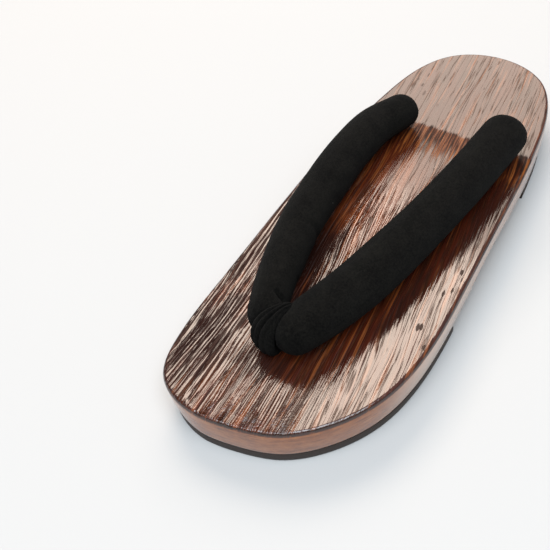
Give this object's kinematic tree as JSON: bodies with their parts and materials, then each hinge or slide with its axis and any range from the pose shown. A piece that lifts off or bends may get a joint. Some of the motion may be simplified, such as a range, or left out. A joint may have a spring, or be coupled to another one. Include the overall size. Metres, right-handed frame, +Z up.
{
  "type": "geta sandal",
  "caption": "Left geta sandal: thick lacquered wooden base with a scooped arch, rubber pads under forefoot and heel, and padded cloth straps in a V held down by a gathered toe loop.",
  "frame": {"origin": "on the floor under the middle of the sandal's bounding box", "axes": "+X from the inner side of the foot to the outer side, +Y from toe to heel, +Z up"},
  "size_m": [0.1055, 0.2599, 0.0457],
  "materials": {
    "lacquered_wood": "burnt, brushed with raised grain, gloss lacquer",
    "sole_rubber": "matte, fine ribbed tread",
    "strap_cloth": "matte, fine weave"
  },
  "bodies": {
    "root": {"base": "lacquered_wood", "forefoot_pad": "sole_rubber", "heel_pad": "sole_rubber", "straps": "strap_cloth", "toe_loop": "strap_cloth"}
  },
  "joints": []
}
